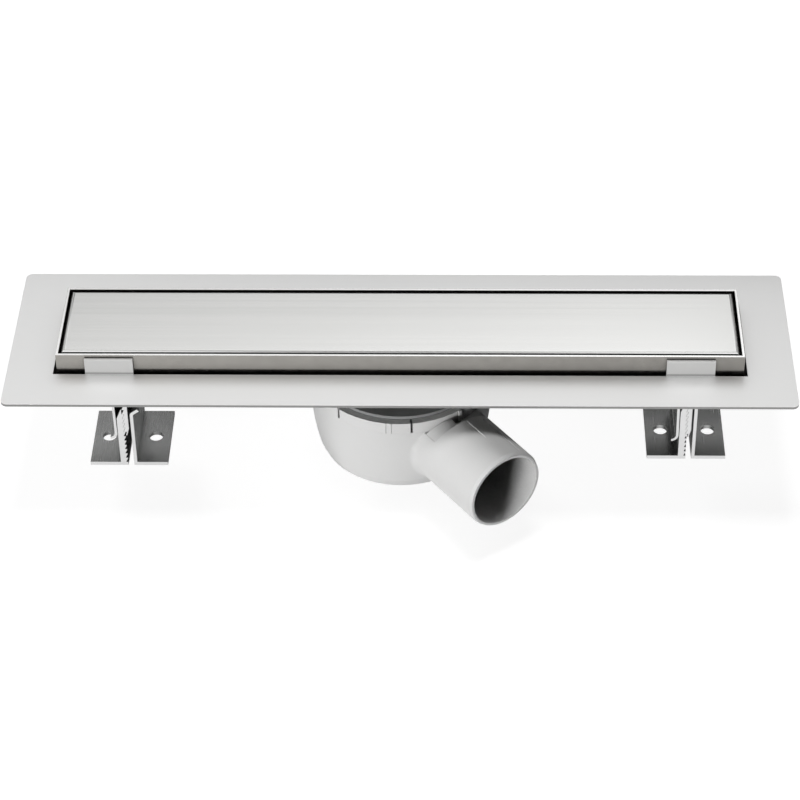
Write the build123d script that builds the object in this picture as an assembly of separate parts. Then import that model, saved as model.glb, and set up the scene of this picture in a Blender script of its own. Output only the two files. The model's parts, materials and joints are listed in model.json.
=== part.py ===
from build123d import *
import os

os.makedirs("parts", exist_ok=True)

# Frame in mm: X along the drain, Y across it with the front at -Y, Z up from the flange's top face

# Flange sheet, its opening and the upright locating tabs at the opening's edge
FLANGE_LENGTH = 460.0
FLANGE_WIDTH = 125.0
FLANGE_SHEET = 2.0
FLANGE_CORNER = 4.0
OPENING_LENGTH = 405.0
OPENING_WIDTH = 69.6
TAB_WIDTH = 28.3
TAB_HEIGHT = 10.4
TAB_INSET = 33.1
TAB_BEND = 0.8

# Trough folded from thinner sheet, welded under the opening
TROUGH_SHEET = 1.5
TROUGH_DEPTH = 16.0
TROUGH_BEND = 2.0

# Raised frame that stands in the opening on legs and carries the cover on tongues
FRAME_SHEET = 1.5
FRAME_SLOT_SIDE = 2.5
FRAME_SLOT_END = 2.1
FRAME_RISE = 12.2
FRAME_LEG = 10.0
FRAME_LEG_WIDTH = 12.0
FRAME_BAYS = 7
TONGUE_WIDTH = 16.0
TONGUE_REACH = 8.0
TAB_CLEARANCE = 0.3

# Folded cover plate inside the frame
COVER_SHEET = 1.5
COVER_BEND = 2.5
COVER_GAP_SIDE = 1.2
COVER_GAP_END = 1.2

# Outlet through the trough floor: clamping ring, flat gasket and strainer basket
OUTLET_RADIUS = 29.0
RING_FLANGE_RADIUS = 33.0
RING_FLANGE = 2.0
RING_WALL = 2.6
RING_LENGTH = 13.0
RING_LEDGE = 2.4
RING_NOTCH = 5.0
RING_NOTCHES = 4
THREAD_CLEARANCE = 0.3
GASKET_RADIUS = 35.0
GASKET = 1.5
STRAINER_WALL = 1.2
STRAINER_RIM = 4.0
STRAINER_DEPTH = 7.0
STRAINER_SLOT = 2.6
STRAINER_SLOTS = 6
STRAINER_RINGS = 2
STRAINER_BRIDGE = 3.0
KNOB_RADIUS = 2.6
KNOB_HEIGHT = 5.0
SEAT_CLEARANCE = 0.4

# Dip tube hung in the ring, with its gasket and pull bar
TUBE_WALL = 1.8
TUBE_FLANGE = 2.0
TUBE_GASKET = 1.2
TUBE_LENGTH = 34.0
PULL_BAR = 2.4

# Trap lid: disc, threaded neck and skirt with the seal groove
LID_PLATE = 3.0
LID_RADIUS = 49.8
LID_SHOULDER = 1.5
LID_NECK_WALL = 2.6
LID_SKIRT = 4.2
LID_STAND = 2.0
SEAL_HEIGHT = 1.8
SEAL_DEPTH = 1.8
SEAL_TIP = 0.8
SEAL_CLEARANCE = 0.3
SWIVEL_CLEARANCE = 0.3

# Trap bowl: snap collar, tapering bowl, weir and radial outlet spigot
BOWL_WALL = 2.6
LIP_THICKNESS = 2.0
COLLAR_HEIGHT = 7.5
COLLAR_STEP = 0.5
SEAL_LAND = 3.8
BOWL_DEPTH = 55.7
BOWL_TAPER = 4.1
BOWL_BULGE = 1.6
BOWL_FOOT_BEVEL = 8.0
BOWL_FOOT_STEP = 2.5
WEIR_RADIUS = 33.0
WEIR_WALL = 2.0
WEIR_HEIGHT = 30.0
SLITS = 7
SLIT_WIDTH = 1.3
SLIT_PITCH = 49.1
MARK_TURN = 40.5
MARK_WIDTH = 2.2
MARK_RISE = 1.0
RIB_TURNS = (-8.6, -5.2)
RIB_WIDTH = 0.8
RIB_RISE = 0.4
SPIGOT_RADIUS = 25.0
SPIGOT_WALL = 2.6
SPIGOT_LENGTH = 50.0
SPIGOT_TURN = 36.5
SPIGOT_DROP = 25.0
SPIGOT_DRAFT = 0.3
SPIGOT_LEAD = 2.6
SPIGOT_LEAD_DEPTH = 1.0
RELIEF_MARGIN = 9.3
RELIEF_DROP = 1.2

# Hangers under the trough: web, pawl leg and hooked spring leg
HANGER_INSET = 34.5
HANGER_WIDTH = 34.0
HANGER_WEB = 2.0
HANGER_DROP = 38.5
PAWL_WALL = 1.4
PAWL_NOSE = 0.6
PAWL_TAPER = 5.5
SPRING_WALL = 1.6
SPRING_LEAN = 0.5
SPRING_HOOK_REACH = 3.6
SPRING_HOOK_DROP = 4.0
STUD_RADIUS = 2.0
STUD_LENGTH = 6.5
STUD_SPACING = 22.0
STUD_CLEARANCE = 0.3
NUT_FLATS = 7.0
NUT_HEIGHT = 3.2
NUT_CLEARANCE = 0.1

# Feet: toothed upright, plain guide upright, base wings and rear web
FOOT_DEPTH = 48.4
FOOT_BASE = 2.5
FOOT_WING = 18.5
FOOT_HOLE = 8.3
RACK_BACK = 1.75
RACK_WALL = 3.3
RACK_TEETH = 11
RACK_HEAD = 3.6
RACK_TOP = 0.5
RACK_LEAD_HEIGHT = 7.0
TOOTH_PITCH = 3.4
TOOTH_DEPTH = 1.3
TOOTH_LAND = 0.5
RACK_CLEARANCE = 0.3
GUIDE_CLEARANCE = 1.15
GUIDE_WALL = 2.0
GUIDE_HEIGHT = 37.5
GUIDE_FLARE = 4.2
GUIDE_FLARE_RISE = 3.0
GUIDE_ROUND = 2.0
WEB_WALL = 2.4
WEB_HEIGHT = 30.0
FOOT_TOP_GAP = 10.8
FOOT_STEPS = {"left": 3, "right": 1}

# Heights worked out from the stack, downwards from the flange's top face
trough_floor = -TROUGH_DEPTH
trough_under = trough_floor - TROUGH_SHEET
lid_top = trough_under - GASKET
bowl_top = lid_top - LID_STAND
lip_under = bowl_top - LIP_THICKNESS
shoulder_top = lip_under - SWIVEL_CLEARANCE
collar_foot = bowl_top - COLLAR_HEIGHT
bore_roof = collar_foot - SEAL_LAND
seal_middle = (collar_foot + bore_roof) / 2
bowl_floor = bowl_top - BOWL_DEPTH
spigot_axis = bowl_top - SPIGOT_DROP
ring_foot = trough_floor - RING_LENGTH
hanger_foot = trough_under - HANGER_DROP

# Widths worked out from the opening inwards
frame_half_x = OPENING_LENGTH / 2 - FRAME_SLOT_END
frame_half_y = OPENING_WIDTH / 2 - FRAME_SLOT_SIDE
frame_foot = trough_floor + FRAME_LEG
tongue_top = frame_foot + FRAME_SHEET
cover_half_x = frame_half_x - FRAME_SHEET - COVER_GAP_END
cover_half_y = frame_half_y - FRAME_SHEET - COVER_GAP_SIDE

# Radii worked out from the outlet and the lid
ring_outer = OUTLET_RADIUS - SEAT_CLEARANCE
ring_inner = ring_outer - RING_WALL
tube_flange_radius = ring_inner - SEAT_CLEARANCE
ledge_radius = ring_inner - RING_LEDGE
tube_outer = ledge_radius - SEAT_CLEARANCE
tube_inner = tube_outer - TUBE_WALL
lid_bore = ring_outer + THREAD_CLEARANCE
shoulder_radius = LID_RADIUS + LID_SHOULDER
bowl_inner = shoulder_radius + SWIVEL_CLEARANCE
collar_radius = bowl_inner + BOWL_WALL
lip_radius = LID_RADIUS + SEAT_CLEARANCE
seal_radius = bowl_inner - SEAL_CLEARANCE
groove_radius = seal_radius - SEAL_DEPTH
bowl_foot_radius = collar_radius - BOWL_TAPER
relief_radius = collar_radius + RELIEF_MARGIN
spigot_reach = collar_radius + SPIGOT_LENGTH

# Places across one foot, measured from the hanger's middle plane
rack_root = RACK_WALL - RACK_BACK
rack_tip = rack_root + TOOTH_DEPTH
pawl_face = rack_tip + RACK_CLEARANCE + PAWL_NOSE
guide_face = pawl_face + PAWL_WALL + GUIDE_CLEARANCE
wing_left = -RACK_BACK - FOOT_WING
wing_right = guide_face + GUIDE_WALL + FOOT_WING


def block(x, y, z):
    """Box between three pairs of limits."""
    limits = (x, y, z)
    middle = [(low + high) / 2 for low, high in limits]
    size = [high - low for low, high in limits]
    return Pos(*middle) * Box(*size)


def turned(*outline):
    """Solid of revolution about Z from (radius, height) corners."""
    return revolve(Plane.XZ * make_face(Polyline(*outline, close=True)), Axis.Z)


def tube(inner, outer, low, high):
    """Plain ring between two radii and two heights."""
    return turned((inner, low), (outer, low), (outer, high), (inner, high))


def tab(side):
    """Upright locating tab with its bend, on the front (-1) or rear (1) edge of the opening."""
    inner = frame_half_y + TAB_CLEARANCE
    outer = inner + FLANGE_SHEET
    root = OPENING_WIDTH / 2 + FLANGE_SHEET
    outline = Polyline(
        (inner, -FLANGE_SHEET), (root, -FLANGE_SHEET), (root, 0), (outer, 0),
        (outer, TAB_HEIGHT), (inner, TAB_HEIGHT), close=True)
    section = make_face(outline)
    heel = section.vertices().sort_by_distance((inner, -FLANGE_SHEET))[0]
    section = fillet(heel, TAB_BEND + FLANGE_SHEET / 2)
    section = fillet(section.vertices().sort_by_distance((outer, 0))[0], TAB_BEND)
    upright = extrude(Plane.YZ * section, TAB_WIDTH / 2, both=True)
    return upright if side > 0 else mirror(upright, Plane.XZ)


def flange_sheet():
    """Flat sheet with the opening and four tabs bent up at its long edges."""
    outline = RectangleRounded(FLANGE_LENGTH, FLANGE_WIDTH, FLANGE_CORNER)
    sheet = extrude(outline - Rectangle(OPENING_LENGTH, OPENING_WIDTH), -FLANGE_SHEET)
    for side in (-1, 1):
        for end in (-1, 1):
            sheet += Pos(end * (OPENING_LENGTH / 2 - TAB_INSET), 0, 0) * tab(side)
    return sheet


def tray(half_x, half_y, low, high, bend):
    """Solid box whose bottom edges are rounded by a bend."""
    body = block((-half_x, half_x), (-half_y, half_y), (low, high))
    return fillet(body.edges().group_by(Axis.Z)[0], bend)


def trough():
    """Folded channel with bent bottom edges and the outlet hole."""
    half_x = OPENING_LENGTH / 2
    half_y = OPENING_WIDTH / 2
    outer_bend = TROUGH_BEND + TROUGH_SHEET
    outside = tray(half_x + TROUGH_SHEET, half_y + TROUGH_SHEET, trough_under, -FLANGE_SHEET, outer_bend)
    inside = tray(half_x, half_y, trough_floor, 0, TROUGH_BEND)
    hole = Pos(0, 0, trough_floor) * Cylinder(OUTLET_RADIUS, 4 * TROUGH_SHEET)
    return outside - inside - hole


def cover_frame():
    """Upright frame with legs on the trough floor and tongues bent in under the cover."""
    x, y = frame_half_x, frame_half_y
    inner_x, inner_y = x - FRAME_SHEET, y - FRAME_SHEET
    wall = block((-x, x), (-y, y), (frame_foot, FRAME_RISE))
    wall -= block((-inner_x, inner_x), (-inner_y, inner_y), (frame_foot, FRAME_RISE))
    bay = 2 * x / FRAME_BAYS
    for side in (-1, 1):
        edge = sorted((side * y, side * inner_y))
        reach = sorted((side * y, side * (y - TONGUE_REACH)))
        for k in range(FRAME_BAYS):
            middle = (k - (FRAME_BAYS - 1) / 2) * bay
            tongue = (middle - TONGUE_WIDTH / 2, middle + TONGUE_WIDTH / 2)
            wall += block(tongue, reach, (frame_foot, tongue_top))
        for k in range(FRAME_BAYS - 1):
            middle = (k + 1 - FRAME_BAYS / 2) * bay
            leg = (middle - FRAME_LEG_WIDTH / 2, middle + FRAME_LEG_WIDTH / 2)
            wall += block(leg, edge, (trough_floor, frame_foot))
    return wall


def cover_plate():
    """Folded plate with its skirt standing on the frame's tongues."""
    x, y = cover_half_x, cover_half_y
    top = -FRAME_RISE
    outside = tray(x, y, top, -tongue_top, COVER_BEND)
    inner_bend = COVER_BEND - COVER_SHEET
    inside = tray(x - COVER_SHEET, y - COVER_SHEET, top + COVER_SHEET, -tongue_top, inner_bend)
    return Rot(180, 0, 0) * (outside - inside)


def outlet_ring():
    """Flanged ring through the trough floor, with an inner ledge for the dip tube."""
    top = trough_floor + RING_FLANGE
    ring = turned(
        (ledge_radius, ring_foot), (ring_outer, ring_foot), (ring_outer, trough_floor),
        (RING_FLANGE_RADIUS, trough_floor), (RING_FLANGE_RADIUS, top), (ring_inner, top),
        (ring_inner, ring_foot + RING_LEDGE), (ledge_radius, ring_foot + RING_LEDGE))
    depth = (OUTLET_RADIUS, RING_FLANGE_RADIUS + RING_WALL)
    notch = block((-RING_NOTCH / 2, RING_NOTCH / 2), depth, (trough_floor, top))
    for k in range(RING_NOTCHES):
        ring -= Rot(0, 0, 360 * (k + 0.5) / RING_NOTCHES) * notch
    return ring


def outlet_gasket():
    """Flat seal between the trough floor and the trap lid."""
    return tube(OUTLET_RADIUS + SEAT_CLEARANCE, GASKET_RADIUS, lid_top, trough_under)


def hair_strainer():
    """Perforated basket with a rim on the ring and a lifting knob."""
    seat = trough_floor + RING_FLANGE
    wall = ring_inner - SEAT_CLEARANCE
    floor = seat - STRAINER_DEPTH
    basket = turned(
        (0, floor), (wall, floor), (wall, seat), (wall + STRAINER_RIM, seat),
        (wall + STRAINER_RIM, seat + STRAINER_WALL), (wall - STRAINER_WALL, seat + STRAINER_WALL),
        (wall - STRAINER_WALL, floor + STRAINER_WALL), (KNOB_RADIUS, floor + STRAINER_WALL),
        (KNOB_RADIUS, floor + STRAINER_WALL + KNOB_HEIGHT), (0, floor + STRAINER_WALL + KNOB_HEIGHT))
    slots = []
    pitch = (wall - STRAINER_WALL - KNOB_RADIUS) / STRAINER_RINGS
    for ring in range(STRAINER_RINGS):
        middle = KNOB_RADIUS + (ring + 0.5) * pitch
        slot = Box(pitch - STRAINER_BRIDGE, STRAINER_SLOT, 4 * STRAINER_WALL)
        places = PolarLocations(middle, STRAINER_SLOTS * (ring + 1))
        slots += [Pos(0, 0, floor) * place * slot for place in places]
    return basket - slots


def dip_tube():
    """Removable tube with a seat flange and a pull bar across its top."""
    seat = ring_foot + RING_LEDGE + TUBE_GASKET
    top = seat + TUBE_FLANGE
    body = turned(
        (tube_inner, seat - TUBE_LENGTH), (tube_outer, seat - TUBE_LENGTH), (tube_outer, seat),
        (tube_flange_radius, seat), (tube_flange_radius, top), (tube_inner, top))
    bar = block((-tube_outer, tube_outer), (-PULL_BAR / 2, PULL_BAR / 2), (seat, top))
    return body + bar


def dip_tube_gasket():
    """Flat seal under the dip tube's flange."""
    seat = ring_foot + RING_LEDGE
    return tube(tube_outer + SEAT_CLEARANCE, tube_flange_radius, seat, seat + TUBE_GASKET)


def trap_lid():
    """Disc with a threaded neck inside and a grooved skirt that the bowl's lip hooks over."""
    plate_under = lid_top - LID_PLATE
    neck = lid_bore + LID_NECK_WALL
    skirt = shoulder_radius - LID_SKIRT
    low, high = seal_middle - SEAL_HEIGHT / 2, seal_middle + SEAL_HEIGHT / 2
    return turned(
        (lid_bore, lid_top), (LID_RADIUS, lid_top), (LID_RADIUS, shoulder_top),
        (shoulder_radius, shoulder_top), (shoulder_radius, high), (groove_radius, high),
        (groove_radius, low), (shoulder_radius, low), (shoulder_radius, bore_roof),
        (skirt, bore_roof), (skirt, plate_under), (neck, plate_under), (neck, ring_foot),
        (lid_bore, ring_foot))


def lid_seal_ring():
    """Lip seal in the lid's groove, its tip just inside the bowl's wall."""
    root, tip = SEAL_HEIGHT / 2, SEAL_TIP / 2
    return turned(
        (groove_radius, seal_middle - root), (seal_radius, seal_middle - tip),
        (seal_radius, seal_middle + tip), (groove_radius, seal_middle + root))


def cup(inset):
    """Solid of the bowl's form below the collar, drawn in by a wall."""
    rim = collar_radius - COLLAR_STEP - inset
    foot = bowl_foot_radius - inset
    floor = bowl_floor + inset
    heel = floor + BOWL_FOOT_BEVEL
    middle = ((rim + foot) / 2 + BOWL_BULGE, (collar_foot + heel) / 2)
    side = ThreePointArc((foot, heel), middle, (rim, collar_foot))
    rest = Polyline(
        (rim, collar_foot), (0, collar_foot), (0, floor), (foot - BOWL_FOOT_BEVEL, floor),
        (foot - BOWL_FOOT_STEP, floor + BOWL_FOOT_STEP), (foot, heel))
    return revolve(Plane.XZ * make_face([side, rest]), Axis.Z)


def along_spigot(solid):
    """Solid drawn upwards from the origin, laid along the spigot's axis."""
    return Rot(0, 0, SPIGOT_TURN) * Pos(0, 0, spigot_axis) * Rot(90, 0, 0) * solid


def on_collar(turn, width, rise):
    """Upright rib on the collar at an angle from the front."""
    depth = (-collar_radius - rise, BOWL_WALL / 2 - collar_radius)
    rib = block((-width / 2, width / 2), depth, (collar_foot, bowl_top))
    return Rot(0, 0, turn) * rib


def trap_bowl():
    """Bowl, weir, snap collar and outlet spigot, moulded as one."""
    spigot = along_spigot(turned(
        (0, 0), (SPIGOT_RADIUS + SPIGOT_DRAFT, 0), (SPIGOT_RADIUS, relief_radius + RELIEF_DROP),
        (SPIGOT_RADIUS, spigot_reach - SPIGOT_LEAD), (SPIGOT_RADIUS - SPIGOT_LEAD_DEPTH, spigot_reach),
        (0, spigot_reach)))
    relief = tube(0, relief_radius, collar_foot - RELIEF_DROP, bowl_top + SPIGOT_WALL)
    outside = cup(0) + (spigot - relief)
    outside += tube(0, collar_radius, collar_foot, bowl_top)

    # Bore of the spigot, roofed under the relief pocket and stopped short of the weir
    bore = along_spigot(tube(0, SPIGOT_RADIUS - SPIGOT_WALL, 0, spigot_reach + SPIGOT_WALL))
    bore -= tube(0, relief_radius + SPIGOT_WALL, bore_roof, bowl_top + SPIGOT_WALL)
    bore -= tube(0, WEIR_RADIUS + WEIR_WALL, bowl_floor, bowl_top)

    # Weir stands on the bowl's floor around the dip tube
    weir_top = bowl_floor + BOWL_WALL + WEIR_HEIGHT
    hollow = cup(BOWL_WALL) + tube(0, bowl_inner, bore_roof, lip_under)
    hollow += tube(0, lip_radius, lip_under, bowl_top)
    hollow -= tube(WEIR_RADIUS, WEIR_RADIUS + WEIR_WALL, bowl_floor, weir_top)
    bowl = outside - hollow - bore

    # Slits that let the collar spring over the lid, and the marks on it
    depth = (-collar_radius - BOWL_WALL, BOWL_WALL - bowl_inner)
    slit = block((-SLIT_WIDTH / 2, SLIT_WIDTH / 2), depth, (collar_foot, bowl_top))
    for k in range(SLITS):
        bowl -= Rot(0, 0, MARK_TURN + 180 + (k - (SLITS - 1) / 2) * SLIT_PITCH) * slit
    bowl += on_collar(MARK_TURN, MARK_WIDTH, MARK_RISE)
    for turn in RIB_TURNS:
        bowl += on_collar(turn, RIB_WIDTH, RIB_RISE)
    return bowl


def hanger_section():
    """Front outline of a hanger: web, pawl leg with its nose, hooked spring leg."""
    web_under = trough_under - HANGER_WEB
    web = Pos(0, trough_under - HANGER_WEB / 2) * Rectangle(HANGER_WIDTH, HANGER_WEB)
    back = pawl_face + PAWL_WALL
    nose = hanger_foot + PAWL_TAPER
    pawl = make_face(Polyline(
        (pawl_face, web_under), (back, web_under), (back, nose), (pawl_face, hanger_foot),
        (pawl_face - PAWL_NOSE, hanger_foot), (pawl_face - PAWL_NOSE, hanger_foot + TOOTH_LAND),
        (pawl_face, hanger_foot + TOOTH_PITCH), close=True))
    foot = -RACK_BACK - RACK_CLEARANCE - SPRING_WALL / 2
    knee = hanger_foot + SPRING_HOOK_DROP / 2
    leg = Line((foot - SPRING_LEAN, web_under), (foot, knee))
    tip = (foot - SPRING_HOOK_REACH, knee - SPRING_HOOK_DROP)
    hook = TangentArc((foot, knee), tip, tangent=leg % 1)
    return web + pawl + trace([leg, hook], SPRING_WALL)


def hanger(x):
    """Extruded hanger with stud holes, as deep as the foot in front of its rear web."""
    front = -FOOT_DEPTH / 2
    back = FOOT_DEPTH / 2 - WEB_WALL - SEAT_CLEARANCE
    body = extrude(Plane.XZ * hanger_section(), (back - front) / 2, both=True)
    hole = Cylinder(STUD_RADIUS + STUD_CLEARANCE, 4 * HANGER_WEB)
    return Pos(x, (front + back) / 2, 0) * body - [place * hole for place in stud_places(x)]


def stud_places(x):
    """Stud axes of one hanger, at the trough's underside."""
    middle = -(WEB_WALL + SEAT_CLEARANCE) / 2
    return [Pos(x + side * STUD_SPACING / 2, middle, trough_under) for side in (-1, 1)]


def hanger_studs():
    """Studs welded under the trough, for both hangers."""
    stud = Cylinder(STUD_RADIUS, STUD_LENGTH, align=(Align.CENTER, Align.CENTER, Align.MAX))
    return Compound(children=[place * stud for x in hanger_places.values() for place in stud_places(x)])


def hanger_nuts():
    """Nuts on the studs, under the hangers' webs."""
    outline = RegularPolygon(NUT_FLATS / 2, 6, major_radius=False) - Circle(STUD_RADIUS + NUT_CLEARANCE)
    nut = Pos(0, 0, -HANGER_WEB) * extrude(outline, -NUT_HEIGHT)
    return Compound(children=[place * nut for x in hanger_places.values() for place in stud_places(x)])


def foot_section():
    """Front outline of a foot above its underside: toothed upright and plain guide, each with a wing."""
    teeth = []
    for k in range(RACK_TEETH):
        low = FOOT_BASE + k * TOOTH_PITCH
        high = low + TOOTH_PITCH
        teeth += [(rack_root, low), (rack_tip, high - TOOTH_LAND), (rack_tip, high)]
    top = FOOT_BASE + RACK_TEETH * TOOTH_PITCH + RACK_HEAD
    rack = make_face(Polyline(
        (wing_left, 0), (rack_tip, 0), (rack_tip, FOOT_BASE), *teeth,
        (rack_root, FOOT_BASE + RACK_TEETH * TOOTH_PITCH), (rack_root, top),
        (rack_root - RACK_TOP, top), (-RACK_BACK, top - RACK_LEAD_HEIGHT),
        (-RACK_BACK, FOOT_BASE), (wing_left, FOOT_BASE), close=True))
    middle = guide_face + GUIDE_WALL / 2
    lip = FOOT_BASE + GUIDE_HEIGHT
    flare = (middle + GUIDE_FLARE, lip + GUIDE_FLARE_RISE)
    upright = FilletPolyline((middle, 0), (middle, lip), flare, radius=GUIDE_ROUND)
    wing = Pos((guide_face + wing_right) / 2, FOOT_BASE / 2) * Rectangle(wing_right - guide_face, FOOT_BASE)
    return rack + wing + trace(upright, GUIDE_WALL)


def foot(x, low):
    """Foot with its rear web and a screw hole through each wing."""
    body = extrude(Plane.XZ * foot_section(), FOOT_DEPTH / 2, both=True)
    across = (rack_root - TOOTH_LAND, guide_face + GUIDE_WALL / 2)
    back = FOOT_DEPTH / 2
    body += block(across, (back - WEB_WALL, back), (0, FOOT_BASE + WEB_HEIGHT))
    for middle in (wing_left + FOOT_WING / 2, wing_right - FOOT_WING / 2):
        body -= Pos(middle, 0, 0) * Cylinder(FOOT_HOLE / 2, 4 * FOOT_BASE)
    return Pos(x, 0, low) * body


hanger_reach = OPENING_LENGTH / 2 - HANGER_INSET
hanger_places = {"left": -hanger_reach, "right": hanger_reach}

nodes = {
    "flange_sheet": flange_sheet(),
    "trough": trough(),
    "cover_frame": cover_frame(),
    "cover_plate": cover_plate(),
    "outlet_ring": outlet_ring(),
    "outlet_gasket": outlet_gasket(),
    "hair_strainer": hair_strainer(),
    "dip_tube": dip_tube(),
    "dip_tube_gasket": dip_tube_gasket(),
    "trap_lid": trap_lid(),
    "lid_seal_ring": lid_seal_ring(),
    "trap_bowl": trap_bowl(),
    "hanger_studs": hanger_studs(),
    "hanger_nuts": hanger_nuts(),
}
for name, place in hanger_places.items():
    nodes["hanger_" + name] = hanger(place)
    foot_low = hanger_foot - FOOT_TOP_GAP - FOOT_STEPS[name] * TOOTH_PITCH - FOOT_BASE
    nodes["foot_" + name] = foot(place, foot_low)

for name, solid in nodes.items():
    export_step(solid, "parts/" + name + ".step")
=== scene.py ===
import json
import math

import bmesh
import bpy
from bpy.props import FloatProperty, FloatVectorProperty, PointerProperty
from mathutils import Matrix, Vector
from mathutils.bvhtree import BVHTree


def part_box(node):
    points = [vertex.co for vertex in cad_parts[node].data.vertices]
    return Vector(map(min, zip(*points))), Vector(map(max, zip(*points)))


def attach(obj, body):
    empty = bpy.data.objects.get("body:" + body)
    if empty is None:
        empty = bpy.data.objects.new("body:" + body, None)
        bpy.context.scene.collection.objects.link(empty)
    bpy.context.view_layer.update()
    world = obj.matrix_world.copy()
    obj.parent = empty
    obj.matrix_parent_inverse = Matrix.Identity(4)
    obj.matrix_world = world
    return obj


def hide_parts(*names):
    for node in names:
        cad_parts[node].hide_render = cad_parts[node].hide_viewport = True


bl_info = {
    "name": "Linear shower drain",
    "version": (1, 0, 0),
    "blender": (4, 5, 0),
    "location": "View3D > Sidebar > Drain",
    "description": "Dresses the packed shower drain with its metal, plastic and rubber finishes",
    "category": "Object",
}

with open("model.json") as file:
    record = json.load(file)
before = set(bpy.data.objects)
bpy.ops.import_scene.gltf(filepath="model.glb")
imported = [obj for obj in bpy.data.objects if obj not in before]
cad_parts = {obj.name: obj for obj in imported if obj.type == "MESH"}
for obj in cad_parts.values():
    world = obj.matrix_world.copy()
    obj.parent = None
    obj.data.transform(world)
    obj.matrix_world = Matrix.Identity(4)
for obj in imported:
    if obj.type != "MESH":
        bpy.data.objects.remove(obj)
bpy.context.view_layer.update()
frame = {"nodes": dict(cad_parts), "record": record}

MILLIMETRE = 0.001
SMOOTH_ANGLE = math.radians(30.0)
LINE_DEPTH = 0.004 * MILLIMETRE
UP = Vector((0.0, 0.0, 1.0))
ACROSS = Vector((0.0, 1.0, 0.0))


# Settings that a user would change

def tone(name, description, default):
    return FloatVectorProperty(
        name=name, description=description, default=default, subtype="COLOR", min=0, max=1)


def length(name, description, default):
    return FloatProperty(
        name=name, description=description, default=default, subtype="DISTANCE", unit="LENGTH")


def share(name, description, default):
    return FloatProperty(name=name, description=description, default=default, subtype="FACTOR", min=0, max=1)


def tilt(name, description, default):
    return FloatProperty(name=name, description=description, default=default, subtype="ANGLE")


def power(name, description, default):
    return FloatProperty(name=name, description=description, default=default, unit="POWER")


class SheetSettings(bpy.types.PropertyGroup):
    """Folded sheet steel of the flange, the trough and the raised frame."""
    flange: tone("Flange", "Colour of the satin flange", (0.85, 0.85, 0.845))
    # Painted shade: the trough's sheet is darker than the flange, to stand for the shade down in the slot.
    trough: tone("Trough", "Colour of the trough's sheet", (0.34, 0.34, 0.33))
    rim: tone("Raised frame", "Colour of the raised frame", (0.42, 0.405, 0.38))
    # Painted highlight: the raised frame's top faces take this near-white colour.
    top: tone("Painted frame-top highlight", "Colour of the raised frame's polished top", (0.97, 0.97, 0.96))
    # Painted shade: the flange's edge faces and the heels of its tabs take this dark colour.
    shear: tone("Painted edge shade", "Colour of the flange's sheared edges", (0.30, 0.30, 0.295))
    satin: share("Flange roughness", "Roughness of the satin sheet", 0.52)
    polish: share("Frame roughness", "Roughness of the raised frame", 0.24)
    edge: length("Edge", "Rounding of the cut edges", 0.18 * MILLIMETRE)


class CoverSettings(bpy.types.PropertyGroup):
    """Brushed cover plate."""
    steel: tone("Steel", "Colour of the brushed steel", (0.75, 0.75, 0.738))
    gloss: share("Roughness", "Mean roughness across the brush marks", 0.24)
    edge: length("Edge", "Rounding of the cut edges", 0.15 * MILLIMETRE)
    # Painted light and shade on the cover's folds: a shade line where each fold begins, a highlight on the
    # fold, shade on the skirts in the gap.
    fold_start_shade: tone("Painted fold-start shade", "Colour of the line where each fold begins", (0.36, 0.36, 0.35))
    highlighted: tone("Painted fold highlight", "Colour of the polished folds", (0.97, 0.97, 0.96))
    closed: tone("Painted gap shade", "Colour of the skirts down in the gap", (0.05, 0.05, 0.05))


class TrapSettings(bpy.types.PropertyGroup):
    """Moulded plastic and rubber of the trap and the outlet."""
    bowl: tone("Bowl", "Colour of the light grey bowl", (0.72, 0.72, 0.715))
    # Painted highlight: the spigot's end face takes this near-white colour.
    faced: tone("Faced end", "Colour of the spigot's faced end", (0.95, 0.95, 0.945))
    lid: tone("Lid", "Colour of the dark lid", (0.28, 0.285, 0.285))
    ring: tone("Ring", "Colour of the outlet ring and the dip tube", (0.50, 0.50, 0.50))
    strainer: tone("Strainer", "Colour of the hair strainer", (0.30, 0.31, 0.31))
    rubber: tone("Rubber", "Colour of the seals", (0.025, 0.025, 0.025))
    gloss: share("Roughness", "Mean roughness of the moulded plastic", 0.36)
    edge: length("Edge", "Rounding of the moulded edges", 0.25 * MILLIMETRE)
    root: length("Spigot root", "Radius of the round where the spigot leaves the bowl", 3.2 * MILLIMETRE)
    bead: length("Mould line", "Height of the mould lines along the spigot", 0.22 * MILLIMETRE)


class ClipSettings(bpy.types.PropertyGroup):
    """Extruded feet and hangers with their fasteners."""
    aluminium: tone("Aluminium", "Colour of the drawn faces", (0.56, 0.565, 0.56))
    sawn: tone("Sawn ends", "Colour of the bright sawn ends", (0.72, 0.72, 0.72))
    zinc: tone("Zinc", "Colour of the plated fasteners", (0.60, 0.61, 0.62))
    gloss: share("Roughness", "Mean roughness of the drawn faces", 0.26)
    edge: length("Edge", "Rounding of the drawn edges", 0.15 * MILLIMETRE)
    pitch: length("Thread pitch", "Rise of the stud thread in one turn", 0.7 * MILLIMETRE)
    spacing: length("Stud spacing", "Between the two studs of one hanger", 22.0 * MILLIMETRE)


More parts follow.
